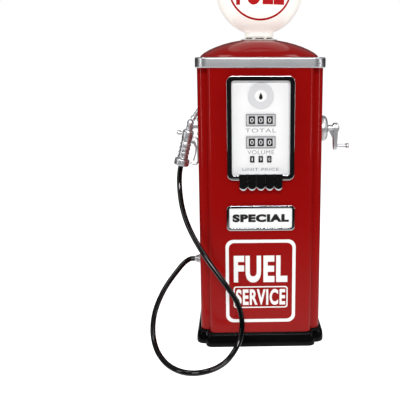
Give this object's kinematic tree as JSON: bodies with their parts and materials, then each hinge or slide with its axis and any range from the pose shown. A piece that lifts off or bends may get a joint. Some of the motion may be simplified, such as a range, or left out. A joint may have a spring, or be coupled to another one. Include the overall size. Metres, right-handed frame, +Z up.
{
  "type": "fuel pump replica",
  "caption": "Retro fuel pump replica with a steel cabinet, lamp globe, dial, side crank, and a hose whose nozzle clips to the side.",
  "frame": {"origin": "on the floor, at the centre of the cabinet's bottom plate", "axes": "+Z up, the dial and front panel face -Y, +X towards the crank"},
  "size_m": [0.5059, 0.4241, 0.99],
  "materials": {
    "red_paint": "gloss",
    "black_gloss": "gloss",
    "bright_trim": "polished",
    "plated_plastic": "bright plated",
    "steel": "zinc plated",
    "brass": "turned",
    "white_plastic": "satin",
    "milk_globe": "opal",
    "grey_trim": "satin",
    "rubber": "smooth"
  },
  "bodies": {
    "root": {"left_side_panel": "red_paint", "right_side_panel": "red_paint", "front_panel": "red_paint", "rear_cover": "red_paint", "dome": "red_paint", "plinth": "black_gloss", "price_tile_1": "black_gloss", "price_tile_2": "black_gloss", "price_tile_3": "black_gloss", "nozzle_clip": "bright_trim", "dial_bezel": "bright_trim", "fluted_skirt": "bright_trim", "badge_bezel": "bright_trim", "crank_escutcheon": "bright_trim", "hose_connector": "bright_trim", "top_band": "plated_plastic", "bottom_plate": "steel", "top_deck": "steel", "lamp_stem": "steel", "clip_screw_1": "steel", "clip_screw_2": "steel", "cover_screw_1": "steel", "cover_screw_2": "steel", "cover_screw_3": "steel", "cover_screw_4": "steel", "cover_screw_5": "steel", "cover_screw_6": "steel", "crank_bushing": "brass", "connector_nut": "brass", "dial_face": "white_plastic", "badge_plate": "white_plastic", "globe_collar": "white_plastic", "lamp_socket": "white_plastic", "globe": "milk_globe", "bulb": "milk_globe", "medallion": "grey_trim", "sale_window": "grey_trim", "gallons_window": "grey_trim", "hose": "rubber", "lamp_lead": "rubber", "mains_gland": "rubber"},
    "crank": {"crank_shaft": "steel", "shaft_collar": "steel", "crank_arm": "bright_trim", "crank_cap": "bright_trim", "grip_pin": "steel"},
    "grip": {"crank_grip": "bright_trim"},
    "nozzle": {"end_collar": "bright_trim", "nozzle_body": "bright_trim", "nozzle_spout": "bright_trim", "spout_ring": "steel", "side_cap": "bright_trim", "trigger_guard": "bright_trim", "trigger_pin": "steel"},
    "trigger": {"trigger": "bright_trim"}
  },
  "joints": [
    {"name": "crank_turn", "type": "hinge", "parent": "root", "child": "crank", "pos_m": [0.19, -0.025, 0.543], "axis": [1, 0, 0], "continuous": true},
    {"name": "grip_spin", "type": "hinge", "parent": "crank", "child": "grip", "pos_m": [0.21, -0.025, 0.498], "axis": [1, 0, 0], "continuous": true},
    {"name": "nozzle_pull", "type": "slide", "parent": "root", "child": "nozzle", "axis": [-0.9724, 0, 0.2334], "range_m": [0, 0.08]},
    {"name": "trigger_squeeze", "type": "hinge", "parent": "nozzle", "child": "trigger", "pos_m": [-0.16848, -0.025, 0.50889], "axis": [0, 1, 0], "range_deg": [0, 14], "stiffness_Nm_per_rad": 0.06, "springref_deg": -8.59}
  ]
}
